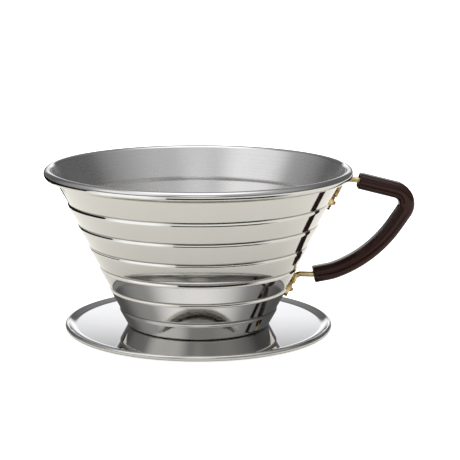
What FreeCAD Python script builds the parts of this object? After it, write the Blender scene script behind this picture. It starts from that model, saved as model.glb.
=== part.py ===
import FreeCAD, Part
import os
from math import cos, radians, sin

import Sketcher

# Pour over dripper: a stepped conical cup of thin steel sheet with a curled rim, spot-welded on a
# wide drip saucer, and a handle of round brass rod riveted to the cup and sleeved by a moulded grip.
# Frame: +Z up along the cup's axis, the origin on that axis at the foot of the locating collar,
# and the handle in the XZ plane, towards +X. Millimetres and degrees.

SIZES = [
    ("sheet", 0.6),                  # sheet thickness of the cup, the saucer and the collar
    # cup
    ("rim_radius", 58.5),            # outside of the curled rim
    ("overall_height", 65.8),        # foot of the collar to the top of the rim
    ("curl_radius", 1.75),           # outside radius of the rim's curl
    ("curl_end_angle", 207),         # where the curl's free edge stops, from +X, seen from -Y
    ("wall_angle", 28.7),            # lean of each cone band from the vertical
    ("step_pitch", 8.26),            # height from one step to the next
    ("step_depth", 1.2),             # height of the upright band that makes a step
    ("top_step_level", 52.85),       # middle of the uppermost step
    ("bend_radius", 0.7),            # bends of the wall at the steps
    ("foot_bend_radius", 1.1),       # bend between the wall and the flat bottom
    ("drain_radius", 1.5),
    ("drain_circle", 9.0),           # radius of the circle of the drain holes
    ("ridge_length", 19.0),          # raised ridges that hold the paper off the bottom
    ("ridge_width", 1.8),
    ("ridge_rise", 0.8),
    # saucer
    ("saucer_top", 4.95),            # level of the flat upper face, where the cup stands
    ("saucer_flat_radius", 46.8),    # where the edge starts to turn up
    ("saucer_edge_bend", 5.87),      # radius of that gentle upturn
    ("saucer_radius", 51.35),        # outside of the rolled hem
    ("hem_radius", 1.05),
    ("hem_level", 4.85),             # middle of the hem
    ("hem_start_angle", 120.4),      # where the upturn runs into the hem
    ("saucer_hole_radius", 18.0),
    # locating collar
    ("collar_radius", 30.0),
    ("collar_flange_radius", 23.5),  # inner edge of its flange
    ("collar_bend_radius", 0.9),
    # spot welds
    ("weld_radius", 1.5),
    ("weld_bite", 0.25),             # depth of a nugget in each sheet
    ("cup_weld_circle", 22.0),
    ("collar_weld_circle", 26.5),
    # handle rod
    ("rod_radius", 1.05),
    ("lug_length", 6.6),
    ("lug_width", 4.8),
    ("lug_corner", 2.0),
    ("lug_thick", 1.2),
    ("rod_landing", 2.4),            # rod's end above the rivet, measured along the wall
    ("upper_exit_run", 0.3),         # straight run out of the grip's upper end
    ("upper_exit_turn", 9.5),        # bends of the rod between the grip and the upper lug
    ("upper_exit_radius", 4.0),
    ("upper_bend_radius", 2.2),
    ("lower_exit_turn", 12.2),       # bends of the rod between the grip and the lower lug
    ("lower_exit_radius", 4.0),
    ("lower_bend_radius", 2.6),
    # grip: its centreline from the upper end, as runs and bends one after another
    ("grip_start_reach", 60.7),
    ("grip_start_level", 60.47),
    ("grip_lean", 13.9),             # fall of the first run below the horizontal
    ("grip_top_run", 14.6),
    ("grip_knuckle_radius", 5.5),
    ("grip_knuckle_turn", 109.7),
    ("grip_side_run", 5.87),
    ("grip_palm_radius", 46.65),
    ("grip_palm_turn", 35.3),
    ("grip_heel_radius", 20.0),
    ("grip_heel_turn", 10.5),
    ("grip_end_run", 5.3),
    ("grip_thick", 6.0),             # in the plane of the handle
    ("grip_width", 8.5),
    ("grip_corner", 2.6),
    ("grip_bore_radius", 1.1),
    # rivets
    ("rivet_radius", 1.2),
    ("rivet_bore_radius", 1.25),
    ("rivet_head_radius", 2.3),
    ("rivet_head_rise", 1.4),
    ("rivet_head_flat", 0.5),        # radius of the flat on top of the dome
    ("rivet_dome_radius", 2.1),
    ("rivet_tail_radius", 2.0),
    ("rivet_tail_depth", 1.9),       # inner end of the formed tail, inward from the wall's crests
    ("rivet_shank_cover", 0.45),     # metal of the tail beyond the end of the shank
    ("upper_rivet_shift", 0.3),      # upward from the crest of the step it goes through
    ("lower_rivet_shift", -0.4),
]

STEP_COUNT = 6
DRAIN_COUNT = 3
WELD_COUNT = 6
UPPER_STEP = 0   # the handle's rivets go through these steps, counted from the top
LOWER_STEP = 4
ZONE_RUN = 4.5   # reach of the zones that are cut to the wall's shape, along the wall
ZONE_DEPTH = 4   # and across it
ZONE_SWEEP = 60  # and round the cup, in degrees

doc = FreeCAD.newDocument("pour_over_dripper")
sheet = doc.addObject("Spreadsheet::Sheet", "dims")
for row, (alias, number) in enumerate(SIZES, 1):
    sheet.set("A%d" % row, alias)
    sheet.set("B%d" % row, str(number))
    sheet.setAlias("B%d" % row, alias)
doc.recompute()


def size(expression):
    """Value of an expression in the sheet's aliases."""
    value = sheet.evalExpression(expression)
    return float(getattr(value, "Value", value))


# ---- places on the cup's wall, as expressions ----------------------------------------------

STEP_RUN = "((dims.step_pitch - dims.step_depth) * tan(dims.wall_angle))"
# lean of the line that joins the steps' crests
CREST_LEAN = f"(atan({STEP_RUN} / dims.step_pitch) / 1 deg)"
CURL_X = "(dims.rim_radius - dims.curl_radius)"
CURL_Z = "(dims.overall_height - dims.curl_radius)"
CURL_HOLLOW = "(dims.curl_radius - dims.sheet)"
BAND_TOP = "(dims.top_step_level + dims.step_depth / 2)"
TOP_STEP_RADIUS = (
    f"({CURL_X} - {CURL_HOLLOW} / cos(dims.wall_angle)"
    f" - ({CURL_Z} - {BAND_TOP}) * tan(dims.wall_angle))"
)


def step_corner(step, edge, depth="0"):
    """Corner of the wall at the upper (+1) or lower (-1) edge of a step, depth inward of the outside."""
    x = f"({TOP_STEP_RADIUS} - {step} * {STEP_RUN} - {depth})"
    z = (
        f"(dims.top_step_level - {step} * dims.step_pitch + {edge} * dims.step_depth / 2"
        f" + {depth} * tan(dims.wall_angle / 2))"
    )
    return x, z


def along_band(corner, run):
    """The place a run further up a cone band from one of its corners."""
    x, z = corner
    return f"({x} + {run} * sin(dims.wall_angle))", f"({z} + {run} * cos(dims.wall_angle))"


def on_crests(step, run, height):
    """A place run up the crest line from a step's crest, and height out of it."""
    x, z = step_corner(step, -1)
    return (
        f"({x} + ({run}) * sin({CREST_LEAN}) + ({height}) * cos({CREST_LEAN}))",
        f"({z} + ({run}) * cos({CREST_LEAN}) - ({height}) * sin({CREST_LEAN}))",
    )


def on_curl(radius, angle):
    """A place on a circle round the middle of the rim's curl."""
    return f"({CURL_X} + {radius} * cos({angle}))", f"({CURL_Z} + {radius} * sin({angle}))"


# ---- sketches ------------------------------------------------------------------------------

def plane(body, role):
    """One of the body's own origin planes."""
    return next(item for item in body.Origin.OriginFeatures if item.Role == role)


def sketch_on(body, name, role, level="0"):
    """Sketch on an origin plane of the body, raised to a level."""
    sketch = body.newObject("Sketcher::SketchObject", name)
    sketch.AttachmentSupport = (plane(body, role), [""])
    sketch.MapMode = "FlatFace"
    sketch.setExpression(".AttachmentOffset.Base.z", level)
    return sketch


def sketch_across(body, name, place, heading):
    """Sketch square to a heading in the XZ plane, its x along Y, centred on the place."""
    sketch = body.newObject("Sketcher::SketchObject", name)
    sketch.AttachmentSupport = (plane(body, "YZ_Plane"), [""])
    sketch.MapMode = "FlatFace"
    sketch.AttachmentOffset = FreeCAD.Placement(
        FreeCAD.Vector(0, 0, 0), FreeCAD.Rotation(FreeCAD.Vector(1, 0, 0), 1)
    )
    sketch.setExpression(".AttachmentOffset.Base.y", place[1])
    sketch.setExpression(".AttachmentOffset.Base.z", place[0])
    sketch.setExpression(".AttachmentOffset.Rotation.Angle", f"-({heading})")
    return sketch


def tie(sketch, kind, targets, expression):
    """Dimension driven by an expression."""
    value = size(expression)
    if kind == "Angle":
        value = radians(value)
    number = sketch.addConstraint(Sketcher.Constraint(kind, *targets, value))
    sketch.setExpression("Constraints[%d]" % number, expression)


def pin(sketch, piece, end, place):
    """Fixes one end of a piece of the sketch at a place."""
    tie(sketch, "DistanceX", (-1, 1, piece, end), place[0])
    tie(sketch, "DistanceY", (-1, 1, piece, end), place[1])


def circle(sketch, place, radius):
    centre = FreeCAD.Vector(size(place[0]), size(place[1]), 0)
    piece = sketch.addGeometry(Part.Circle(centre, FreeCAD.Vector(0, 0, 1), size(radius)))
    if place == ("0", "0"):
        sketch.addConstraint(Sketcher.Constraint("Coincident", piece, 3, -1, 1))
    else:
        pin(sketch, piece, 3, place)
    tie(sketch, "Radius", (piece,), radius)


def arc_between(start, end, radius, turn, major):
    """Arc from start to end that turns left (+1) or right (-1)."""
    chord = end - start
    half = chord.Length / 2
    left = FreeCAD.Vector(-chord.y, chord.x, 0).normalize()
    side = -turn if major else turn
    centre = start + chord * 0.5 + left * (side * max(radius**2 - half**2, 0) ** 0.5)
    first, last = (start, end) if turn > 0 else (end, start)
    angles = [(point - centre).getAngle(FreeCAD.Vector(1, 0, 0)) for point in (first, last)]
    for number, point in enumerate((first, last)):
        if (point - centre).y < 0:
            angles[number] = -angles[number]
    ring = Part.Circle(centre, FreeCAD.Vector(0, 0, 1), radius)
    return Part.ArcOfCircle(ring, angles[0], angles[1])


def outline(sketch, corners):
    """Closed outline. A corner is (x, z), or (x, z, radius, turn, major) where an arc leads to it."""
    points = [FreeCAD.Vector(size(corner[0]), size(corner[1]), 0) for corner in corners]
    ends = []
    for number, corner in enumerate(corners):
        start, end = points[number - 1], points[number]
        if len(corner) == 2:
            piece = sketch.addGeometry(Part.LineSegment(start, end))
            ends.append((piece, 1, 2))
        else:
            radius, turn, major = corner[2:]
            piece = sketch.addGeometry(arc_between(start, end, size(radius), turn, major))
            ends.append((piece, 1, 2) if turn > 0 else (piece, 2, 1))
            tie(sketch, "Radius", (piece,), radius)
    for number, (piece, first, last) in enumerate(ends):
        following = ends[(number + 1) % len(ends)]
        sketch.addConstraint(Sketcher.Constraint("Coincident", piece, last, following[0], following[1]))
        pin(sketch, piece, last, corners[number][:2])


def rounded_rectangle(sketch, width, length, corner):
    """Rectangle round the sketch's middle, width along its x, with its corners rounded."""
    side_x, side_y = f"{width} / 2", f"{length} / 2"
    near_x, near_y = f"{width} / 2 - {corner}", f"{length} / 2 - {corner}"
    outline(sketch, [
        (side_x, near_y), (near_x, side_y, corner, 1, False),
        (f"-({near_x})", side_y), (f"-({side_x})", near_y, corner, 1, False),
        (f"-({side_x})", f"-({near_y})"), (f"-({near_x})", f"-({side_y})", corner, 1, False),
        (near_x, f"-({side_y})"), (side_x, f"-({near_y})", corner, 1, False),
    ])


def chain(sketch, start, heading, moves, end=None, end_heading=None):
    """Runs and bends, each tangent to the one before it.

    A move is ("run", length) or ("bend", radius, turn), where a left turn is positive. A length or a
    turn that is a plain number is a first guess, which the end's place and heading settle.
    """
    point = FreeCAD.Vector(size(start[0]), size(start[1]), 0)
    course = radians(size(heading))
    last = None
    for move in moves:
        if move[0] == "run":
            length = size(move[1]) if isinstance(move[1], str) else move[1]
            target = point + FreeCAD.Vector(cos(course), sin(course), 0) * length
            piece = sketch.addGeometry(Part.LineSegment(point, target))
            ends = (1, 2)
            if isinstance(move[1], str):
                tie(sketch, "Distance", (piece,), move[1])
        else:
            radius = size(move[1])
            sweep = radians(size(move[2]) if isinstance(move[2], str) else move[2])
            side = 1 if sweep > 0 else -1
            centre = point + FreeCAD.Vector(-sin(course), cos(course), 0) * (side * radius)
            middle = turned(point, centre, sweep / 2)
            target = turned(point, centre, sweep)
            piece = sketch.addGeometry(Part.Arc(point, middle, target))
            ends = (1, 2) if side > 0 else (2, 1)
            tie(sketch, "Radius", (piece,), move[1])
            if isinstance(move[2], str):
                tie(sketch, "Angle", (piece,), move[2].lstrip("-"))
            course += sweep
        if last is None:
            pin(sketch, piece, ends[0], start)
            tie(sketch, "Angle", (piece,), heading)
        else:
            sketch.addConstraint(Sketcher.Constraint("Tangent", last[0], last[1], piece, ends[0]))
        last = (piece, ends[1])
        point = target
    if end is not None:
        pin(sketch, last[0], last[1], end)
        tie(sketch, "Angle", (last[0],), end_heading)


def turned(point, centre, angle):
    """Point turned left about a centre."""
    arm = point - centre
    return centre + FreeCAD.Vector(
        arm.x * cos(angle) - arm.y * sin(angle), arm.x * sin(angle) + arm.y * cos(angle), 0
    )


# ---- features ------------------------------------------------------------------------------

def new_body(label):
    body = doc.addObject("PartDesign::Body", label)
    body.Label = label
    body.Placement = FreeCAD.Placement()
    return body


def turn_profile(body, kind, name, profile, axis):
    """Revolution or Groove of a profile, a full turn about an axis of the profile's sketch."""
    feature = body.newObject("PartDesign::" + kind, name)
    feature.Profile = profile
    feature.ReferenceAxis = (profile, [axis])
    feature.Angle = 360
    profile.Visibility = False
    return feature


def pocket(body, name, profile, depth):
    feature = body.newObject("PartDesign::Pocket", name)
    feature.Profile = profile
    feature.setExpression("Length", depth)
    return feature


def ring_of(body, name, feature, count):
    """Repeats a feature evenly round Z."""
    pattern = body.newObject("PartDesign::PolarPattern", name)
    pattern.Originals = [feature]
    pattern.Axis = (next(item for item in body.Origin.OriginFeatures if item.Role == "Z_Axis"), [""])
    pattern.Angle = 360
    pattern.Occurrences = count
    body.Tip = pattern
    return pattern


def weld_seats(body, name, circle_radius, level):
    """Shallow round seats of the spot welds, cut downward from a level."""
    sketch = sketch_on(body, name + "_outline", "XY_Plane", level)
    circle(sketch, (circle_radius, "0"), "dims.weld_radius")
    return ring_of(body, name, pocket(body, name + "_first", sketch, "dims.weld_bite"), WELD_COUNT)


def rivet_bore(body, name, step, shift):
    """Hole through the wall or a lug, square to the line of the steps' crests."""
    sketch = sketch_on(body, name + "_outline", "XZ_Plane")
    outline(sketch, [
        on_crests(step, shift, "-dims.rivet_tail_depth"),
        on_crests(step, shift, "2 * dims.lug_thick"),
        on_crests(step, f"{shift} + dims.rivet_bore_radius", "2 * dims.lug_thick"),
        on_crests(step, f"{shift} + dims.rivet_bore_radius", "-dims.rivet_tail_depth"),
    ])
    add_axis(sketch, step, shift)
    return turn_profile(body, "Groove", name, sketch, "Axis0")


def add_axis(sketch, step, shift):
    """Construction line along a rivet."""
    places = [on_crests(step, shift, "-dims.rivet_tail_depth"), on_crests(step, shift, "dims.lug_thick")]
    ends = [FreeCAD.Vector(size(x), size(z), 0) for x, z in places]
    piece = sketch.addGeometry(Part.LineSegment(*ends), True)
    for end, place in enumerate(places, 1):
        pin(sketch, piece, end, place)


def cut_to_wall(body, name, step, depth, side):
    """Removes what lies to one side (+1 outward, -1 inward) of the wall's face at a depth."""
    upper, lower = step_corner(step, 1, depth), step_corner(step, -1, depth)
    far_upper = along_band(upper, ZONE_RUN)
    far_lower = along_band(lower, -ZONE_RUN)
    sketch = sketch_on(body, name + "_outline", "XZ_Plane")
    outline(sketch, [
        far_lower, lower, upper, far_upper,
        (f"({far_upper[0]} + {side * ZONE_DEPTH})", far_upper[1]),
        (f"({far_lower[0]} + {side * ZONE_DEPTH})", far_lower[1]),
    ])
    groove = turn_profile(body, "Groove", name, sketch, "V_Axis")
    groove.Angle = ZONE_SWEEP
    groove.Midplane = True
    return groove


def round_edges(body, name, base, radius, wanted):
    """Fillet of the full circles about Z that wanted() picks by their radius and level."""
    names = []
    for number, edge in enumerate(base.Shape.Edges, 1):
        if not isinstance(edge.Curve, Part.Circle):
            continue
        centre = edge.Curve.Center
        if abs(centre.x) < 1e-6 and abs(centre.y) < 1e-6 and wanted(edge.Curve.Radius, centre.z):
            names.append("Edge%d" % number)
    fillet = body.newObject("PartDesign::Fillet", name)
    fillet.Base = (base, names)
    fillet.setExpression("Radius", radius)
    return fillet


# ---- the pieces ----------------------------------------------------------------------------

def make_cup():
    body = new_body("dripper_cup")
    bottom = "dims.saucer_top"
    floor = "(dims.saucer_top + dims.sheet)"
    last = STEP_COUNT - 1
    foot_x, foot_z = step_corner(last, -1)
    heel_x, heel_z = step_corner(last, -1, "dims.sheet")
    foot = (f"({foot_x} - ({foot_z} - {bottom}) * tan(dims.wall_angle))", bottom)
    heel = (f"({heel_x} - ({heel_z} - {floor}) * tan(dims.wall_angle))", floor)
    outside = [step_corner(step, edge) for step in reversed(range(STEP_COUNT)) for edge in (-1, 1)]
    inside = [step_corner(step, edge, "dims.sheet") for step in range(STEP_COUNT) for edge in (1, -1)]
    tangent = "(180 - dims.wall_angle)"
    curl = [
        on_curl(CURL_HOLLOW, tangent),
        on_curl(CURL_HOLLOW, "dims.curl_end_angle") + (CURL_HOLLOW, -1, True),
        on_curl("dims.curl_radius", "dims.curl_end_angle"),
        on_curl("dims.curl_radius", tangent) + ("dims.curl_radius", 1, True),
    ]
    section = sketch_on(body, "cup_section", "XZ_Plane")
    outline(section, [("0", bottom), foot] + outside + curl + inside + [heel, ("0", floor)])
    shell = turn_profile(body, "Revolution", "cup_shell", section, "V_Axis")
    doc.recompute()
    wall_foot, wall_top = size(floor) + 1, size(BAND_TOP) + 1
    steps = round_edges(body, "step_bends", shell, "dims.bend_radius",
                        lambda radius, level: wall_foot < level < wall_top)
    doc.recompute()
    heel_radius = size(heel[0]) - 0.1
    round_edges(body, "foot_bend", steps, "dims.foot_bend_radius",
                lambda radius, level: level < wall_foot and radius > heel_radius)

    drains = sketch_on(body, "drain_outline", "XY_Plane", floor)
    circle(drains, ("dims.drain_circle", "0"), "dims.drain_radius")
    ring_of(body, "drain_holes", pocket(body, "first_drain", drains, "dims.sheet"), DRAIN_COUNT)

    ridge_outline = sketch_on(body, "ridge_outline", "XY_Plane", floor)
    half = "dims.ridge_width / 2"
    outline(ridge_outline, [
        ("0", f"-{half}"), ("0", half), ("-dims.ridge_length", half), ("-dims.ridge_length", f"-{half}"),
    ])
    ridge = body.newObject("PartDesign::Pad", "first_ridge")
    ridge.Profile = ridge_outline
    ridge.setExpression("Length", "dims.ridge_rise")
    ring_of(body, "ridges", ridge, DRAIN_COUNT)

    weld_seats(body, "cup_weld_seats", "dims.cup_weld_circle", f"({bottom} + dims.weld_bite)")
    rivet_bore(body, "upper_rivet_hole", UPPER_STEP, "dims.upper_rivet_shift")
    body.Tip = rivet_bore(body, "lower_rivet_hole", LOWER_STEP, "dims.lower_rivet_shift")
    return body


def make_saucer():
    body = new_body("drip_saucer")
    underside = "(dims.saucer_top - dims.sheet)"
    hem_x = "(dims.saucer_radius - dims.hem_radius)"

    def on_hem(angle):
        return (f"({hem_x} + dims.hem_radius * cos({angle}))",
                f"(dims.hem_level + dims.hem_radius * sin({angle}))")

    section = sketch_on(body, "saucer_section", "XZ_Plane")
    outer_bend = "(dims.saucer_edge_bend + dims.sheet)"
    outline(section, [
        ("dims.saucer_hole_radius", underside),
        ("dims.saucer_flat_radius", underside),
        on_hem("180") + (outer_bend, 1, False),
        on_hem("dims.hem_start_angle") + ("dims.hem_radius", 1, True),
        ("dims.saucer_flat_radius", "dims.saucer_top", "dims.saucer_edge_bend", -1, False),
        ("dims.saucer_hole_radius", "dims.saucer_top"),
    ])
    turn_profile(body, "Revolution", "saucer_sheet", section, "V_Axis")
    weld_seats(body, "cup_weld_seats", "dims.cup_weld_circle", "dims.saucer_top")
    weld_seats(body, "collar_weld_seats", "dims.collar_weld_circle", f"({underside} + dims.weld_bite)")
    return body


def make_collar():
    body = new_body("locating_collar")
    top = "(dims.saucer_top - dims.sheet)"
    wall = "(dims.collar_radius - dims.sheet)"
    bend = "dims.collar_bend_radius"
    inner_bend = "(dims.collar_bend_radius - dims.sheet)"
    section = sketch_on(body, "collar_section", "XZ_Plane")
    outline(section, [
        (wall, "0"),
        ("dims.collar_radius", "0"),
        ("dims.collar_radius", f"({top} - {bend})"),
        (f"(dims.collar_radius - {bend})", top, bend, 1, False),
        ("dims.collar_flange_radius", top),
        ("dims.collar_flange_radius", f"({top} - dims.sheet)"),
        (f"({wall} - {inner_bend})", f"({top} - dims.sheet)"),
        (wall, f"({top} - {bend})", inner_bend, -1, False),
    ])
    turn_profile(body, "Revolution", "collar_sheet", section, "V_Axis")
    weld_seats(body, "weld_seats", "dims.collar_weld_circle", top)
    return body


def make_welds(label, circle_radius, interface):
    """Spot-weld nuggets, half in each of the two sheets that meet at the interface."""
    nuggets = []
    for number in range(WELD_COUNT):
        nugget = doc.addObject("Part::Cylinder", "%s_%d" % (label, number + 1))
        nugget.setExpression("Radius", "dims.weld_radius")
        nugget.setExpression("Height", "2 * dims.weld_bite")
        angle = 360 / WELD_COUNT * number
        nugget.setExpression(".Placement.Base.x", f"{circle_radius} * cos({angle})")
        nugget.setExpression(".Placement.Base.y", f"{circle_radius} * sin({angle})")
        nugget.setExpression(".Placement.Base.z", f"{interface} - dims.weld_bite")
        nuggets.append(nugget)
    group = doc.addObject("Part::Compound", label)
    group.Label = label
    group.Links = nuggets
    group.Placement = FreeCAD.Placement()
    return group


GRIP_START = ("dims.grip_start_reach", "dims.grip_start_level")
GRIP_MOVES = [
    ("run", "dims.grip_top_run"),
    ("bend", "dims.grip_knuckle_radius", "-dims.grip_knuckle_turn"),
    ("run", "dims.grip_side_run"),
    ("bend", "dims.grip_palm_radius", "-dims.grip_palm_turn"),
    ("bend", "dims.grip_heel_radius", "-dims.grip_heel_turn"),
    ("run", "dims.grip_end_run"),
]


def make_lug(body, name, step, shift):
    """Flattened end of the rod, pressed to the wall's shape and drilled."""
    landing = on_crests(step, shift, "dims.lug_thick")
    face = sketch_across(body, name + "_outline", landing, f"-{CREST_LEAN}")
    rounded_rectangle(face, "dims.lug_width", "dims.lug_length", "dims.lug_corner")
    plate = body.newObject("PartDesign::Pad", name + "_plate")
    plate.Profile = face
    plate.Reversed = True
    plate.setExpression("Length", "2 * dims.lug_thick")
    cut_to_wall(body, name + "_seat", step, "0", -1)
    return rivet_bore(body, name + "_hole", step, shift)


def make_rod():
    body = new_body("handle_rod")
    ends = [
        on_crests(step, f"{shift} + dims.rod_landing", "dims.rod_radius")
        for step, shift in ((UPPER_STEP, "dims.upper_rivet_shift"), (LOWER_STEP, "dims.lower_rivet_shift"))
    ]
    route = sketch_on(body, "rod_route", "XZ_Plane")
    downward = f"-90 - {CREST_LEAN}"
    chain(route, GRIP_START, "-dims.grip_lean", GRIP_MOVES + [
        ("bend", "dims.lower_exit_radius", "-dims.lower_exit_turn"),
        ("run", 3.5),
        ("bend", "dims.lower_bend_radius", 67),
        ("run", 2),
    ], ends[1], downward)
    chain(route, GRIP_START, "180 - dims.grip_lean", [
        ("run", "dims.upper_exit_run"),
        ("bend", "dims.upper_exit_radius", "dims.upper_exit_turn"),
        ("run", 3.5),
        ("bend", "dims.upper_bend_radius", 69),
        ("run", 5.8),
    ], ends[0], downward)
    section = sketch_across(body, "rod_section", ends[1], f"90 - {CREST_LEAN}")
    circle(section, ("0", "0"), "dims.rod_radius")
    rod = body.newObject("PartDesign::AdditivePipe", "round_rod")
    rod.Profile = section
    rod.Spine = (route, [])
    make_lug(body, "upper_lug", UPPER_STEP, "dims.upper_rivet_shift")
    make_lug(body, "lower_lug", LOWER_STEP, "dims.lower_rivet_shift")
    return body


def make_grip():
    body = new_body("handle_grip")
    route = sketch_on(body, "grip_route", "XZ_Plane")
    chain(route, GRIP_START, "-dims.grip_lean", GRIP_MOVES)
    section = sketch_across(body, "grip_section", GRIP_START, "-dims.grip_lean")
    rounded_rectangle(section, "dims.grip_width", "dims.grip_thick", "dims.grip_corner")
    sleeve = body.newObject("PartDesign::AdditivePipe", "sleeve")
    sleeve.Profile = section
    sleeve.Spine = (route, [])
    bore_route = sketch_on(body, "bore_route", "XZ_Plane")
    chain(bore_route, GRIP_START, "-dims.grip_lean", GRIP_MOVES)
    bore_section = sketch_across(body, "bore_section", GRIP_START, "-dims.grip_lean")
    circle(bore_section, ("0", "0"), "dims.grip_bore_radius")
    bore = body.newObject("PartDesign::SubtractivePipe", "bore")
    bore.Profile = bore_section
    bore.Spine = (bore_route, [])
    return body


def make_rivet(label, step, shift):
    """Domed head on the lug, shank through lug and wall, and a tail formed against the inside."""
    body = new_body(label)
    tail = sketch_on(body, label + "_tail_outline", "XZ_Plane")
    outline(tail, [
        on_crests(step, shift, "-dims.rivet_tail_depth"),
        on_crests(step, shift, "0"),
        on_crests(step, f"{shift} + dims.rivet_tail_radius", "0"),
        on_crests(step, f"{shift} + dims.rivet_tail_radius", "-dims.rivet_tail_depth"),
    ])
    add_axis(tail, step, shift)
    turn_profile(body, "Revolution", label + "_tail", tail, "Axis0")
    cut_to_wall(body, label + "_tail_seat", step, "dims.sheet", 1)
    inner_end = "-(dims.rivet_tail_depth - dims.rivet_shank_cover)"
    shank = sketch_on(body, label + "_shank_outline", "XZ_Plane")
    outline(shank, [
        on_crests(step, shift, inner_end),
        on_crests(step, shift, "dims.lug_thick + dims.rivet_head_rise"),
        on_crests(step, f"{shift} + dims.rivet_head_flat", "dims.lug_thick + dims.rivet_head_rise"),
        on_crests(step, f"{shift} + dims.rivet_head_radius", "dims.lug_thick") + (
            "dims.rivet_dome_radius", -1, False),
        on_crests(step, f"{shift} + dims.rivet_radius", "dims.lug_thick"),
        on_crests(step, f"{shift} + dims.rivet_radius", inner_end),
    ])
    add_axis(shank, step, shift)
    turn_profile(body, "Revolution", label + "_shank", shank, "Axis0")
    return body


pieces = [
    make_cup(),
    make_saucer(),
    make_collar(),
    make_welds("cup_spot_welds", "dims.cup_weld_circle", "dims.saucer_top"),
    make_welds("collar_spot_welds", "dims.collar_weld_circle", "(dims.saucer_top - dims.sheet)"),
    make_rod(),
    make_grip(),
    make_rivet("upper_rivet", UPPER_STEP, "dims.upper_rivet_shift"),
    make_rivet("lower_rivet", LOWER_STEP, "dims.lower_rivet_shift"),
]
doc.recompute()

for item in doc.Objects:
    if "Invalid" in item.State or "Error" in item.State:
        raise RuntimeError("%s failed: %s" % (item.Label, item.State))
for piece in pieces:
    if piece.Shape.isNull() or not piece.Shape.isValid():
        raise RuntimeError("%s has no valid shape" % piece.Label)

os.makedirs("parts", exist_ok=True)
for piece in pieces:
    piece.Shape.exportStep("parts/%s.step" % piece.Label)
    print(piece.Label, round(piece.Shape.Volume, 2), piece.Shape.BoundBox)
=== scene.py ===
from math import atan2, cos, degrees, hypot, pi, radians, sin, tan

import bmesh
import bpy
from mathutils import Matrix, Vector


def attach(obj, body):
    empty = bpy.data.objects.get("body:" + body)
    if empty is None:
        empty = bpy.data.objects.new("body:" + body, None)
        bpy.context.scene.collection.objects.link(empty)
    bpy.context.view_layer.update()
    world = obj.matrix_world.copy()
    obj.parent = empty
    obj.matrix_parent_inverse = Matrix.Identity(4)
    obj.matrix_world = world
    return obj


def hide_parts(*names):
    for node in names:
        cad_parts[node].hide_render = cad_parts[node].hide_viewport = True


# A pour over dripper: a stepped cup of polished steel sheet with a curled rim, spot-welded on a wide
# drip saucer, and a handle of brass rod riveted to the cup and sleeved by a moulded resin grip.
# Sizes are in millimetres and degrees, and every mesh is brought to metres when it is finished.

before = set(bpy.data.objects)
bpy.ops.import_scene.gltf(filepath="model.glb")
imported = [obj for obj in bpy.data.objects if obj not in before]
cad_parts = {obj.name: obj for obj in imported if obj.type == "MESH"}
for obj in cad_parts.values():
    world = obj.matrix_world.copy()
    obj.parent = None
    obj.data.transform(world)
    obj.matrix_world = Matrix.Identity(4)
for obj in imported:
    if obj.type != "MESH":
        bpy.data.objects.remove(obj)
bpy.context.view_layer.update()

MM = 0.001
ROUND = 192         # faces round the cup and the saucer
FINE = 4.8          # degrees of bend per face in a small bend
SWEEP_FINE = 2.5    # and in a bend of the grip
EASE = 0.05         # narrow faces beside each bend that keep the flat bands flat
SHARP = 35          # degrees of turn above which an edge stays sharp

# ---- the design's sizes --------------------------------------------------------------------

SHEET = 0.6
RIM_RADIUS, RIM_TOP = 58.48, 65.8
CURL_RADIUS = 1.75
CURL_END = 207.0
WALL_LEAN = radians(28.7)
STEP_COUNT = 6
STEP_PITCH, STEP_DEPTH = 8.26, 1.2
TOP_STEP = 52.85
CREST_BEND, VALLEY_BEND = 1.5, 2.0      # radii on the outside of the wall
FOOT_BEND = 1.5
CUP_FOOT = 4.95                         # level of the cup's underside
DISC_EDGE = 14.0                        # the bottom inside this radius is filled round the drain holes
DRAIN_COUNT, DRAIN_RADIUS, DRAIN_CIRCLE = 3, 1.5, 9.0
RIDGE_LENGTH, RIDGE_WIDTH, RIDGE_RISE = 19.0, 1.8, 0.8
RIDGE_SINK, RIDGE_ROUND = 0.2, 0.5      # depth of a ridge's root in the sheet, and its edges' rounding
SAUCER_HOLE, SAUCER_FLAT, SAUCER_RADIUS = 18.0, 46.8, 51.33
UPTURN = 5.87                           # radius of the saucer's turned-up edge
HEM_RADIUS, HEM_LEVEL = 1.05, 4.85
HEM_START = 30.4                        # slope of the upturn where it meets the hem
COLLAR_RADIUS, COLLAR_FLANGE, COLLAR_BEND = 30.0, 23.5, 0.9
GRIP_WIDTH, GRIP_THICK, GRIP_CORNER, GRIP_BORE = 8.5, 6.0, 2.6, 1.1
GRIP_START, GRIP_HEADING = (60.7, 60.47), -13.9
GRIP_MOVES = [(14.6,), (5.5, -109.7), (5.87,), (46.65, -35.3), (20.0, -10.5), (5.3,)]
GRIP_END_ROUND = 0.7                    # rounding of its ends


# ---- drawing and turning sheet -------------------------------------------------------------

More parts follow.
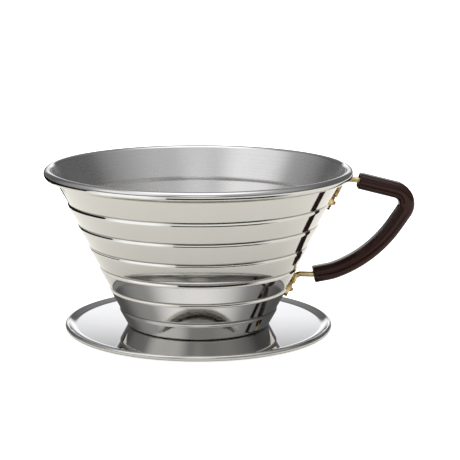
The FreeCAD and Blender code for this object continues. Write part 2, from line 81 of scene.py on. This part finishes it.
def draw(bm, start, heading, moves):
    """A wire in the XZ plane: runs (length,), bends (radius, turn to the left), corners (None, turn)."""
    course = radians(heading)
    tip = bmesh.ops.create_vert(bm, co=(start[0], 0, start[1]))["vert"][0]
    for move in moves:
        ahead = Vector((cos(course), 0, sin(course)))
        if len(move) == 1:
            length = move[0]
            eases = (EASE, length - 2 * EASE, EASE) if length > 4 * EASE else (length,)
            for piece in eases:
                new = bmesh.ops.extrude_vert_indiv(bm, verts=[tip])["verts"][0]
                bmesh.ops.translate(bm, verts=[new], vec=ahead * piece)
                tip = new
            continue
        radius, turn = move
        course += radians(turn)
        if radius is None:
            continue
        side = 1 if turn > 0 else -1
        centre = tip.co + Vector((-ahead.z, 0, ahead.x)) * (side * radius)
        last = bmesh.ops.spin(bm, geom=[tip], cent=centre, axis=(0, -1, 0), angle=radians(turn),
                              steps=max(3, round(abs(turn) / FINE)))["geom_last"]
        tip = next(piece for piece in last if isinstance(piece, bmesh.types.BMVert))


def turn_round(bm):
    """Spins the drawn wire a full turn about Z."""
    bmesh.ops.spin(bm, geom=bm.verts[:] + bm.edges[:], cent=(0, 0, 0), axis=(0, 0, 1),
                   angle=2 * pi, steps=ROUND, use_merge=True)
    bmesh.ops.remove_doubles(bm, verts=bm.verts[:], dist=1e-5)


def sweep(bm, ring, start, heading, moves):
    """Carries a closed ring of edges along runs (length,) and bends (radius, turn to the left)."""
    course, middle = radians(heading), Vector((start[0], 0, start[1]))
    across = Matrix((
        (0, -sin(course), cos(course), middle.x), (1, 0, 0, 0),
        (0, cos(course), sin(course), middle.z), (0, 0, 0, 1)))
    corners = list({vert for edge in ring for vert in edge.verts})
    bmesh.ops.transform(bm, matrix=across, verts=corners)
    for move in moves:
        ahead = Vector((cos(course), 0, sin(course)))
        if len(move) == 1:
            new = bmesh.ops.extrude_edge_only(bm, edges=ring)["geom"]
            corners = [vert for vert in new if isinstance(vert, bmesh.types.BMVert)]
            bmesh.ops.translate(bm, vec=ahead * move[0], verts=corners)
            ring = [edge for edge in new if isinstance(edge, bmesh.types.BMEdge)
                    and all(vert in new for vert in edge.verts)]
            middle = middle + ahead * move[0]
            continue
        radius, turn = move
        side = 1 if turn > 0 else -1
        centre = middle + Vector((-ahead.z, 0, ahead.x)) * (side * radius)
        geom = ring + list({vert for edge in ring for vert in edge.verts})
        last = bmesh.ops.spin(bm, geom=geom, cent=centre, axis=(0, -1, 0), angle=radians(turn),
                              steps=max(6, round(abs(turn) / SWEEP_FINE)))["geom_last"]
        ring = [edge for edge in last if isinstance(edge, bmesh.types.BMEdge)]
        middle = centre + Matrix.Rotation(radians(turn), 3, (0, -1, 0)) @ (middle - centre)
        course += radians(turn)
    return ring


def finish(bm, name, materials, nodes, body="root"):
    """Makes the mesh a piece in metres, smooth except at its sharp edges, in place of CAD nodes."""
    for edge in bm.edges:
        edge.smooth = edge.calc_face_angle(0) < radians(SHARP)
    for face in bm.faces:
        face.smooth = True
    bmesh.ops.scale(bm, vec=(MM, MM, MM), verts=bm.verts[:])
    mesh = bpy.data.meshes.new(name)
    bm.to_mesh(mesh)
    bm.free()
    for material in materials:
        mesh.materials.append(material)
    piece = bpy.data.objects.new(name, mesh)
    bpy.context.collection.objects.link(piece)
    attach(piece, body)
    for node in nodes:
        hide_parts(node)


def tangent(radius, turn):
    """Length that a bend takes off each of the runs that meet at a corner."""
    return radius * tan(abs(turn) / 2)


# ---- materials -----------------------------------------------------------------------------

def linear(code):
    """Linear colour of an sRGB hex code."""
    parts = [int(code[place:place + 2], 16) / 255 for place in (1, 3, 5)]
    return [part / 12.92 if part <= 0.04045 else ((part + 0.055) / 1.055) ** 2.4
            for part in parts] + [1]


def add(tree, kind, inputs=None, **settings):
    """A node with its settings; an input is a value or the socket that feeds it."""
    node = tree.nodes.new("ShaderNode" + kind)
    for name, value in settings.items():
        setattr(node, name, value)
    for name, value in (inputs or {}).items():
        if isinstance(value, bpy.types.NodeSocket):
            tree.links.new(value, node.inputs[name])
        else:
            node.inputs[name].default_value = value
    return node


def new_material(name, uniform):
    """A material with its shader's uniform values set, and the coordinates that its patterns use."""
    material = bpy.data.materials.new(name)
    material.use_nodes = True
    tree = material.node_tree
    tree.nodes.clear()
    shader = add(tree, "BsdfPrincipled", uniform)
    tree.links.new(shader.outputs["BSDF"], add(tree, "OutputMaterial").inputs["Surface"])
    place = add(tree, "TexCoord").outputs["Object"]
    return material, tree, shader, place


# 18-8 stainless steel sheet, buffed to a mirror: clear reflections with a faint haze in soft patches.
# In the valleys of the cup's steps, a thin line of painted shade darkens the steel, and the steel is
# rougher there.
def mirror_steel(name, valleys):
    material, tree, shader, place = new_material(name, {"Metallic": 1})
    # haze in patches 17 mm across
    haze = add(tree, "TexNoise", {"Vector": place, "Scale": 60, "Detail": 3})
    rough = add(tree, "MapRange", {"Value": haze.outputs["Fac"], "To Min": 0.03, "To Max": 0.065})
    colour = add(tree, "MixRGB", {
        "Fac": haze.outputs["Fac"], "Color1": linear("#D2D1CD"), "Color2": linear("#CDCCC8")})
    if not valleys:
        tree.links.new(rough.outputs["Result"], shader.inputs["Roughness"])
        tree.links.new(colour.outputs["Color"], shader.inputs["Base Color"])
        return material
    height = add(tree, "SeparateXYZ", {"Vector": place}).outputs["Z"]
    top_valley, pitch = (TOP_STEP + STEP_DEPTH / 2) * MM, STEP_PITCH * MM
    above = add(tree, "Math", {0: height, 1: top_valley}, operation="SUBTRACT")
    nearest = add(tree, "Math", {0: above.outputs["Value"], 1: pitch / 2, 2: -pitch / 2},
                  operation="WRAP")
    away = add(tree, "Math", {0: nearest.outputs["Value"]}, operation="ABSOLUTE")
    # full within 0.12 mm of the valley's middle, and gone 0.42 mm from it
    line = add(tree, "MapRange", {
        "Value": away.outputs["Value"], "From Min": 0.12 * MM, "From Max": 0.42 * MM,
        "To Min": 1, "To Max": 0}, interpolation_type="SMOOTHSTEP")
    # uneven from one 4 mm to the next
    patchy = add(tree, "TexNoise", {"Vector": place, "Scale": 250, "Detail": 2})
    amount = add(tree, "MapRange", {"Value": patchy.outputs["Fac"], "To Min": 0.65, "To Max": 1})
    painted_valley_shade = add(tree, "Math", {0: line.outputs["Result"], 1: amount.outputs["Result"]},
                  operation="MULTIPLY")
    # painted shade: the valley line turns the base colour towards dark grey
    valley_shaded_colour = add(tree, "MixRGB", {
        "Fac": painted_valley_shade.outputs["Value"], "Color1": colour.outputs["Color"], "Color2": linear("#75736F")})
    tree.links.new(valley_shaded_colour.outputs["Color"], shader.inputs["Base Color"])
    valley_roughness = add(tree, "MapRange", {
        "Value": painted_valley_shade.outputs["Value"], "To Min": rough.outputs["Result"], "To Max": 0.3})
    tree.links.new(valley_roughness.outputs["Result"], shader.inputs["Roughness"])
    return material


# 18-8 stainless steel sheet as spun and brushed: fine lines run round the axis, so lights spread up
# and down the wall but stay narrow round it.
def satin_steel():
    material, tree, shader, place = new_material("stainless_steel_satin_spun", {
        "Metallic": 1, "Anisotropic": 0.9, "Anisotropic Rotation": 0.25})
    parts = add(tree, "SeparateXYZ", {"Vector": place})
    flat = add(tree, "CombineXYZ", {"X": parts.outputs["X"], "Y": parts.outputs["Y"]})
    reach = add(tree, "VectorMath", {0: flat.outputs["Vector"]}, operation="LENGTH")
    along = add(tree, "Math", {0: reach.outputs["Value"], 1: parts.outputs["Z"]}, operation="ADD")
    # lines about 0.6 mm apart, coarser than the real ones so that they show
    lines = add(tree, "TexNoise", {"W": along.outputs["Value"], "Scale": 1600, "Detail": 2},
                noise_dimensions="1D")
    # and clouds 11 mm across
    cloud = add(tree, "TexNoise", {"Vector": place, "Scale": 90, "Detail": 3})
    both = add(tree, "Math", {0: lines.outputs["Fac"], 1: cloud.outputs["Fac"]}, operation="MULTIPLY")
    rough = add(tree, "MapRange", {
        "Value": both.outputs["Value"], "From Min": 0.1, "From Max": 0.45, "To Min": 0.24, "To Max": 0.29})
    tree.links.new(rough.outputs["Result"], shader.inputs["Roughness"])
    colour = add(tree, "MixRGB", {
        "Fac": lines.outputs["Fac"], "Color1": linear("#D5D3CF"), "Color2": linear("#CFCDC9")})
    tree.links.new(colour.outputs["Color"], shader.inputs["Base Color"])
    around = add(tree, "Tangent", direction_type="RADIAL", axis="Z")
    tree.links.new(around.outputs["Tangent"], shader.inputs["Tangent"])
    return material


# Drawn brass rod, wiped rather than polished: pale gold highlights with brown tarnish in patches.
def brass_material():
    material, tree, shader, place = new_material("brass_drawn_tarnished", {"Metallic": 1})
    # tarnish in patches 3 mm across
    patches = add(tree, "TexNoise", {"Vector": place, "Scale": 320, "Detail": 4, "Roughness": 0.6})
    tarnish = add(tree, "MapRange", {"Value": patches.outputs["Fac"], "From Min": 0.42, "From Max": 0.68})
    colour = add(tree, "MixRGB", {
        "Fac": tarnish.outputs["Result"], "Color1": linear("#DFC992"), "Color2": linear("#80602F")})
    tree.links.new(colour.outputs["Color"], shader.inputs["Base Color"])
    rough = add(tree, "MapRange", {"Value": tarnish.outputs["Result"], "To Min": 0.1, "To Max": 0.26})
    tree.links.new(rough.outputs["Result"], shader.inputs["Roughness"])
    # drawing marks 0.55 mm apart
    fine = add(tree, "TexNoise", {"Vector": place, "Scale": 1800, "Detail": 2})
    bump = add(tree, "Bump", {"Height": fine.outputs["Fac"], "Strength": 0.12, "Distance": 0.05 * MM})
    tree.links.new(bump.outputs["Normal"], shader.inputs["Normal"])
    return material


# Phenolic resin, moulded and buffed: almost black, warm brown in the light, with a glassy skin.
def resin_material():
    material, tree, shader, place = new_material("phenolic_resin_moulded", {
        "IOR": 1.55, "Specular IOR Level": 0.2})
    # flow of the moulding in swirls 14 mm across
    flow = add(tree, "TexNoise", {"Vector": place, "Scale": 70, "Detail": 4, "Distortion": 0.6})
    colour = add(tree, "MixRGB", {
        "Fac": flow.outputs["Fac"], "Color1": linear("#1A0B08"), "Color2": linear("#2E1711")})
    tree.links.new(colour.outputs["Color"], shader.inputs["Base Color"])
    # rubbed by hands in patches 4 mm across
    rub = add(tree, "TexNoise", {"Vector": place, "Scale": 260, "Detail": 3})
    rough = add(tree, "MapRange", {"Value": rub.outputs["Fac"], "To Min": 0.07, "To Max": 0.13})
    tree.links.new(rough.outputs["Result"], shader.inputs["Roughness"])
    return material


# Stainless steel rivets, tumbled and then browned by handling: soft sheen, warm patches, faint dents.
def rivet_material():
    material, tree, shader, place = new_material("stainless_steel_tumbled", {"Metallic": 1})
    # patches 2 mm across
    patches = add(tree, "TexNoise", {"Vector": place, "Scale": 500, "Detail": 3})
    colour = add(tree, "MixRGB", {
        "Fac": patches.outputs["Fac"], "Color1": linear("#C9A57F"), "Color2": linear("#6E4630")})
    tree.links.new(colour.outputs["Color"], shader.inputs["Base Color"])
    rough = add(tree, "MapRange", {"Value": patches.outputs["Fac"], "To Min": 0.18, "To Max": 0.34})
    tree.links.new(rough.outputs["Result"], shader.inputs["Roughness"])
    # dents 0.6 mm across
    dents = add(tree, "TexVoronoi", {"Vector": place, "Scale": 1600})
    bump = add(tree, "Bump", {
        "Height": dents.outputs["Distance"], "Strength": 0.15, "Distance": 0.05 * MM})
    tree.links.new(bump.outputs["Normal"], shader.inputs["Normal"])
    return material


# Stainless steel fused by a spot welder: matt grey with straw and blue heat tints.
def weld_material():
    material, tree, shader, place = new_material("stainless_steel_spot_welded", {"Metallic": 1})
    # tints 3 mm across
    heat = add(tree, "TexNoise", {"Vector": place, "Scale": 350, "Detail": 3})
    colour = add(tree, "MixRGB", {
        "Fac": heat.outputs["Fac"], "Color1": linear("#B79A66"), "Color2": linear("#6E7488")})
    tree.links.new(colour.outputs["Color"], shader.inputs["Base Color"])
    rough = add(tree, "MapRange", {"Value": heat.outputs["Fac"], "To Min": 0.4, "To Max": 0.6})
    tree.links.new(rough.outputs["Result"], shader.inputs["Roughness"])
    return material


MIRROR = mirror_steel("stainless_steel_mirror_buffed", valleys=False)
CUP_MIRROR = mirror_steel("stainless_steel_mirror_buffed_steps", valleys=True)
SATIN = satin_steel()
BRASS = brass_material()
RESIN = resin_material()
RIVET = rivet_material()
WELD = weld_material()


# ---- the pieces ----------------------------------------------------------------------------

def cup():
    """Drawn on its inside skin, from the flat bottom up the steps and round the curl."""
    lean, upright = degrees(WALL_LEAN), 90 - degrees(WALL_LEAN)
    slope = tan(WALL_LEAN)
    floor = CUP_FOOT + SHEET
    curl_x, curl_z = RIM_RADIUS - CURL_RADIUS, RIM_TOP - CURL_RADIUS
    corner_lift = SHEET * tan(WALL_LEAN / 2)
    band_top = TOP_STEP + STEP_DEPTH / 2
    top_radius = (curl_x - (CURL_RADIUS - SHEET) / cos(WALL_LEAN)
                  - (curl_z - band_top) * slope - SHEET)
    foot_step = TOP_STEP - (STEP_COUNT - 1) * STEP_PITCH - STEP_DEPTH / 2 + corner_lift
    step_run = (STEP_PITCH - STEP_DEPTH) * slope
    heel = top_radius - (STEP_COUNT - 1) * step_run - (foot_step - floor) * slope
    crest, valley = CREST_BEND - SHEET, VALLEY_BEND + SHEET
    heel_bend = FOOT_BEND - SHEET
    heel_cut = tangent(heel_bend, radians(upright))
    crest_cut, valley_cut = tangent(crest, WALL_LEAN), tangent(valley, WALL_LEAN)
    touch = radians(180 - lean)
    touch_x, touch_z = curl_x + CURL_RADIUS * cos(touch), curl_z + CURL_RADIUS * sin(touch)
    last_run = hypot(touch_x - top_radius, touch_z - band_top - corner_lift)
    moves = [(heel - heel_cut - DISC_EDGE,), (heel_bend, upright)]
    moves += [((foot_step - floor) / cos(WALL_LEAN) - heel_cut - crest_cut,)]
    for step in range(STEP_COUNT):
        moves += [(crest, lean), (STEP_DEPTH - crest_cut - valley_cut,), (valley, -lean)]
        if step < STEP_COUNT - 1:
            moves += [((STEP_PITCH - STEP_DEPTH) / cos(WALL_LEAN) - crest_cut - valley_cut,)]
    moves += [(last_run - valley_cut,), (CURL_RADIUS, CURL_END - 360 - 180 + lean)]

    bm = bmesh.new()
    draw(bm, (DISC_EDGE, floor), 0, moves)
    turn_round(bm)
    # the middle of the bottom, filled round the drain holes
    hole_edges = [edge for edge in bm.edges
                  if len(edge.link_faces) == 1 and edge.verts[0].co.z < floor + SHEET / 2]
    apart = 360 / DRAIN_COUNT
    for number in range(DRAIN_COUNT):
        turned = Matrix.Rotation(radians(apart * number), 4, "Z")
        place = turned @ Matrix.Translation((DRAIN_CIRCLE, 0, floor))
        ring = bmesh.ops.create_circle(bm, segments=32, radius=DRAIN_RADIUS, matrix=place)["verts"]
        hole_edges += {edge for vert in ring for edge in vert.link_edges}
    bmesh.ops.triangle_fill(bm, edges=list(set(hole_edges)), use_beauty=True, use_dissolve=False,
                            normal=(0, 0, 1))
    bmesh.ops.recalc_face_normals(bm, faces=bm.faces[:])
    # satin up to the curl, and mirror from there on
    for face in bm.faces:
        middle = face.calc_center_median()
        face.material_index = int(middle.z > touch_z or hypot(middle.x, middle.y) > touch_x)
    inside = bm.faces[:]
    centre_face = min(inside, key=lambda face: face.calc_center_median().length)
    if centre_face.normal.z < 0:
        bmesh.ops.reverse_faces(bm, faces=inside)
    inner = set(inside)
    bmesh.ops.solidify(bm, geom=inside, thickness=SHEET)
    for face in bm.faces:
        if face not in inner:
            face.material_index = 1
    # a ridge between each two drain holes
    for number in range(DRAIN_COUNT):
        turned = Matrix.Rotation(radians(apart / 2 + apart * number), 4, "Z")
        middle = (RIDGE_LENGTH / 2, 0, floor + RIDGE_RISE / 2 - RIDGE_SINK / 2)
        spans = Matrix.Diagonal((RIDGE_LENGTH, RIDGE_WIDTH, RIDGE_RISE + RIDGE_SINK, 1))
        bar = turned @ Matrix.Translation(middle) @ spans
        block = bmesh.ops.create_cube(bm, size=1, matrix=bar)["verts"]
        edges = {edge for vert in block for edge in vert.link_edges}
        bmesh.ops.bevel(bm, geom=list(edges), offset=RIDGE_ROUND, segments=4, profile=0.5,
                        affect="EDGES", material=-1)
    finish(bm, "cup_shell", [SATIN, CUP_MIRROR], ["dripper_cup"])


def saucer():
    """Its upper and under faces drawn from the centre hole out, joined at the hem and at the hole."""
    top, under = CUP_FOOT, CUP_FOOT - SHEET
    hem_x, hem_z = SAUCER_RADIUS - HEM_RADIUS, HEM_LEVEL
    reach = hem_x - HEM_RADIUS - SAUCER_FLAT
    back_turn = degrees(atan2(reach, UPTURN + SHEET - (hem_z - under)))
    bm = bmesh.new()
    draw(bm, (SAUCER_HOLE, top), 0, [
        (SAUCER_FLAT - SAUCER_HOLE,), (UPTURN, HEM_START), (HEM_RADIUS, -270 - HEM_START),
    ])
    draw(bm, (SAUCER_HOLE, under), 0, [(SAUCER_FLAT - SAUCER_HOLE,), (UPTURN + SHEET, back_turn)])
    bm.verts.ensure_lookup_table()
    ends = [vert for vert in bm.verts if len(vert.link_edges) == 1]
    ends.sort(key=lambda vert: vert.co.x)
    bmesh.ops.contextual_create(bm, geom=ends[:2])
    bmesh.ops.pointmerge(bm, verts=ends[2:], merge_co=ends[2].co)
    turn_round(bm)
    bmesh.ops.recalc_face_normals(bm, faces=bm.faces[:])
    finish(bm, "saucer_plate", [MIRROR], ["drip_saucer"])


def collar():
    """A ring with a flange turned inward under the saucer."""
    top = CUP_FOOT - SHEET
    inner_bend = COLLAR_BEND - SHEET
    bm = bmesh.new()
    draw(bm, (COLLAR_FLANGE, top), 0, [
        (COLLAR_RADIUS - COLLAR_BEND - COLLAR_FLANGE,), (COLLAR_BEND, -90), (top - COLLAR_BEND,),
        (None, -90), (SHEET,), (None, -90), (top - COLLAR_BEND,), (inner_bend, 90),
        (COLLAR_RADIUS - COLLAR_BEND - COLLAR_FLANGE,),
    ])
    ends = [vert for vert in bm.verts if len(vert.link_edges) == 1]
    bmesh.ops.contextual_create(bm, geom=ends)
    turn_round(bm)
    bmesh.ops.recalc_face_normals(bm, faces=bm.faces[:])
    finish(bm, "collar_ring", [SATIN], ["locating_collar"])


def grip():
    """A rounded bar along the handle's line, bored for the rod, with eased ends."""
    bm = bmesh.new()
    corners = bmesh.ops.create_circle(bm, cap_ends=True, segments=4, radius=0.5 ** 0.5)["verts"]
    bmesh.ops.rotate(bm, verts=corners, cent=(0, 0, 0), matrix=Matrix.Rotation(radians(45), 3, "Z"))
    bmesh.ops.scale(bm, vec=(GRIP_WIDTH, GRIP_THICK, 1), verts=corners)
    bmesh.ops.bevel(bm, geom=corners, offset=GRIP_CORNER, offset_type="OFFSET", segments=10,
                    profile=0.5, affect="VERTICES", material=-1)
    bmesh.ops.delete(bm, geom=bm.faces[:], context="FACES_ONLY")
    outer = bm.edges[:]
    bore = bmesh.ops.create_circle(bm, segments=24, radius=GRIP_BORE)["verts"]
    inner = list({edge for vert in bore for edge in vert.link_edges})
    outer_end = sweep(bm, outer, GRIP_START, GRIP_HEADING, GRIP_MOVES)
    inner_end = sweep(bm, inner, GRIP_START, GRIP_HEADING, GRIP_MOVES)
    for rings in (outer + inner, outer_end + inner_end):
        bmesh.ops.bridge_loops(bm, edges=rings)
    bmesh.ops.recalc_face_normals(bm, faces=bm.faces[:])
    bmesh.ops.bevel(bm, geom=outer + outer_end, offset=GRIP_END_ROUND, segments=5, profile=0.5,
                    affect="EDGES", material=-1)
    finish(bm, "grip_sleeve", [RESIN], ["handle_grip"])


cup()
saucer()
collar()
grip()
# the rod, rivets and welds stay as designed, and only get their finishes
for node, material in (("handle_rod", BRASS), ("upper_rivet", RIVET), ("lower_rivet", RIVET),
                       ("cup_spot_welds", WELD), ("collar_spot_welds", WELD)):
    for place in range(len(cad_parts[node].material_slots)):
        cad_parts[node].material_slots[place].material = material


# ---- studio --------------------------------------------------------------------------------

def glow(name, strength):
    """A plain white light of one strength."""
    material = bpy.data.materials.new(name)
    material.use_nodes = True
    tree = material.node_tree
    tree.nodes.clear()
    light = add(tree, "Emission", {"Color": linear("#FFFFFF"), "Strength": strength})
    tree.links.new(light.outputs["Emission"], add(tree, "OutputMaterial").inputs["Surface"])
    return material


def stage_piece(bm, name, material, hidden=True):
    """A piece of the studio; a hidden one is seen only in reflections."""
    mesh = bpy.data.meshes.new(name)
    bm.to_mesh(mesh)
    bm.free()
    mesh.materials.append(material)
    piece = bpy.data.objects.new(name, mesh)
    bpy.context.collection.objects.link(piece)
    if hidden:
        piece.visible_camera = False
        piece.visible_diffuse = False
        piece.visible_shadow = False
        piece.visible_transmission = False


def floor_patch(name, near, far, start, end, strength, level=1.0, fade=0):
    """Flat ring sector over the floor, angles from -Y towards +X, that only reflections see.

    Over the last degrees at each end it fades to the floor's white.
    """
    bm = bmesh.new()
    a = bmesh.ops.create_vert(bm, co=(0, -near, level))["vert"][0]
    b = bmesh.ops.create_vert(bm, co=(0, -far, level))["vert"][0]
    edge = bmesh.ops.contextual_create(bm, geom=[a, b])["edges"][0]
    bmesh.ops.rotate(bm, verts=[a, b], cent=(0, 0, 0), matrix=Matrix.Rotation(radians(start), 3, "Z"))
    bmesh.ops.spin(bm, geom=[a, b, edge], cent=(0, 0, 0), axis=(0, 0, 1),
                   angle=radians(end - start), steps=24)
    bmesh.ops.scale(bm, vec=(MM, MM, MM), verts=bm.verts[:])
    material = glow(name, strength)
    if fade:
        tree = material.node_tree
        parts = add(tree, "SeparateXYZ", {"Vector": add(tree, "TexCoord").outputs["Object"]})
        front = add(tree, "Math", {0: parts.outputs["Y"], 1: -1}, operation="MULTIPLY")
        angle = add(tree, "Math", {0: parts.outputs["X"], 1: front.outputs["Value"]},
                    operation="ARCTAN2")
        middle, half = radians((start + end) / 2), (end - start) / 2
        turned = add(tree, "Math", {0: angle.outputs["Value"], 1: middle}, operation="SUBTRACT")
        off = add(tree, "Math", {0: turned.outputs["Value"]}, operation="ABSOLUTE")
        ends = add(tree, "MapRange", {
            "Value": off.outputs["Value"], "From Min": radians(half - fade), "From Max": radians(half),
            "To Min": strength, "To Max": 1.0})
        tree.links.new(ends.outputs["Result"], tree.nodes["Emission"].inputs["Strength"])
    stage_piece(bm, name, material)


FLOOR_LIFT = 0.9                # for the camera, so that the ground stays white round the dripper

floor_mesh = bmesh.new()
bmesh.ops.create_grid(floor_mesh, x_segments=1, y_segments=1, size=4)
paper = bpy.data.materials.new("white_paper_sweep")
paper.use_nodes = True
paper_shader = paper.node_tree.nodes["Principled BSDF"]
paper_shader.inputs["Base Color"].default_value = linear("#F6F3ED")
paper_shader.inputs["Roughness"].default_value = 0.9
paper_shader.inputs["Specular IOR Level"].default_value = 0.1
seen = add(paper.node_tree, "LightPath").outputs["Is Camera Ray"]
lift = add(paper.node_tree, "Math", {0: seen, 1: FLOOR_LIFT}, operation="MULTIPLY")
paper_shader.inputs["Emission Color"].default_value = linear("#FFFFFF")
paper.node_tree.links.new(lift.outputs["Value"], paper_shader.inputs["Emission Strength"])
stage_piece(floor_mesh, "studio_floor", paper, hidden=False)

# dark flags and a bright card round the dripper, which draw the dark and light lines of its steps
floor_patch("front_flag", 92, 190, -34, 64, 0.03, fade=16)
floor_patch("far_left_flag", 205, 3000, -180, -140, 0.01)
floor_patch("left_flag", 172, 3000, -140, -78, 0.01)
floor_patch("left_front_glow", 100, 3000, -80, -20, 1.45, level=1.5, fade=14)

world = bpy.data.worlds.new("studio")
bpy.context.scene.world = world
world.use_nodes = True
sky = world.node_tree
sky.nodes.clear()
ray = add(sky, "LightPath")
toward = add(sky, "TexCoord").outputs["Generated"]

ROOM_WHITE = (1.22, 1.22, 1.22, 1)      # what everything but a reflection sees
SKY_LEVEL = 0.16                        # the least that a reflection sees of the sky
STRIP_FULL = 0.985                      # cosine of the 10 degrees over which the strip is full


def soft_light(total, azimuth, elevation, core, edge, strength):
    """Adds a round soft light, full inside its core angle and gone at its edge, all in degrees."""
    az, el = radians(azimuth), radians(elevation)
    aim = (sin(az) * cos(el), -cos(az) * cos(el), sin(el))
    along = add(sky, "VectorMath", {0: toward, 1: aim}, operation="DOT_PRODUCT")
    level = add(sky, "MapRange", {
        "Value": along.outputs["Value"], "From Min": cos(radians(edge)), "From Max": cos(radians(core)),
        "To Min": 0, "To Max": strength}, interpolation_type="SMOOTHSTEP")
    return add(sky, "Math", {0: level.outputs["Result"], 1: total}, operation="ADD").outputs["Value"]


def low_strip(total, azimuth, edge, rise, fall, strength):
    """Adds a strip of light above the horizon that rises and falls between elevations in degrees."""
    az = radians(azimuth)
    along = add(sky, "VectorMath", {0: toward, 1: (sin(az), -cos(az), 0)}, operation="DOT_PRODUCT")
    wide = add(sky, "MapRange", {
        "Value": along.outputs["Value"], "From Min": cos(radians(edge)), "From Max": STRIP_FULL,
        "To Max": strength}, interpolation_type="SMOOTHSTEP")
    height = add(sky, "SeparateXYZ", {"Vector": toward}).outputs["Z"]
    start, full = (sin(radians(angle)) for angle in rise)
    up = add(sky, "MapRange", {"Value": height, "From Min": start, "From Max": full})
    start, gone = (sin(radians(angle)) for angle in fall)
    down = add(sky, "MapRange", {
        "Value": height, "From Min": start, "From Max": gone, "To Min": 1, "To Max": 0})
    slope = add(sky, "Math", {0: up.outputs["Result"], 1: down.outputs["Result"]}, operation="MULTIPLY")
    strip = add(sky, "Math", {0: slope.outputs["Value"], 1: wide.outputs["Result"]}, operation="MULTIPLY")
    return add(sky, "Math", {0: strip.outputs["Value"], 1: total}, operation="ADD").outputs["Value"]


# azimuth from -Y towards +X, elevation, core, edge, strength
SOFT_LIGHTS = [
    (-10, 70, 5, 80, 0.45),     # wide cloth overhead, a little in front
    (0, 88, 3, 36, 1.4),        # lamp straight above
    (0, 24, 7, 20, 0.6),        # low front
    (180, 42, 6, 26, 0.14),     # faint, behind
    (-58, 38, 8, 34, 0.75),     # large soft box, front left
    (-98, 25, 5, 40, 0.22),     # its spill to the left
    (70, 35, 8, 36, 0.13),      # weak fill on the right
]
lights = SKY_LEVEL
for soft in SOFT_LIGHTS:
    lights = soft_light(lights, *soft)
lights = low_strip(lights, 180, 24, (3, 12.5), (14.7, 16.8), 1.45)

# reflections see the soft lights, and everything else an even white
tone = add(sky, "MixRGB", {"Fac": ray.outputs["Is Glossy Ray"], "Color1": ROOM_WHITE})
cool = add(sky, "MixRGB", {"Fac": 1.0, "Color1": lights, "Color2": linear("#F9FAFF")},
           blend_type="MULTIPLY")
sky.links.new(cool.outputs["Color"], tone.inputs["Color2"])
background = add(sky, "Background", {"Color": tone.outputs["Color"], "Strength": 1.0})
sky.links.new(background.outputs["Background"], add(sky, "OutputWorld").inputs["Surface"])

# a long lens from a little above the rim, looking down by 11 degrees
camera_data = bpy.data.cameras.new("camera")
camera_data.lens = 118.77
camera_data.sensor_width = 36
camera_data.shift_x = 0.0686
camera_data.clip_start = 0.01
camera_data.clip_end = 20
camera = bpy.data.objects.new("camera", camera_data)
camera.location = (0, -0.56823, 0.15552)
camera.rotation_euler = (radians(78.627), 0, 0)
bpy.context.collection.objects.link(camera)
bpy.context.scene.camera = camera
bpy.context.scene.view_settings.view_transform = "Standard"
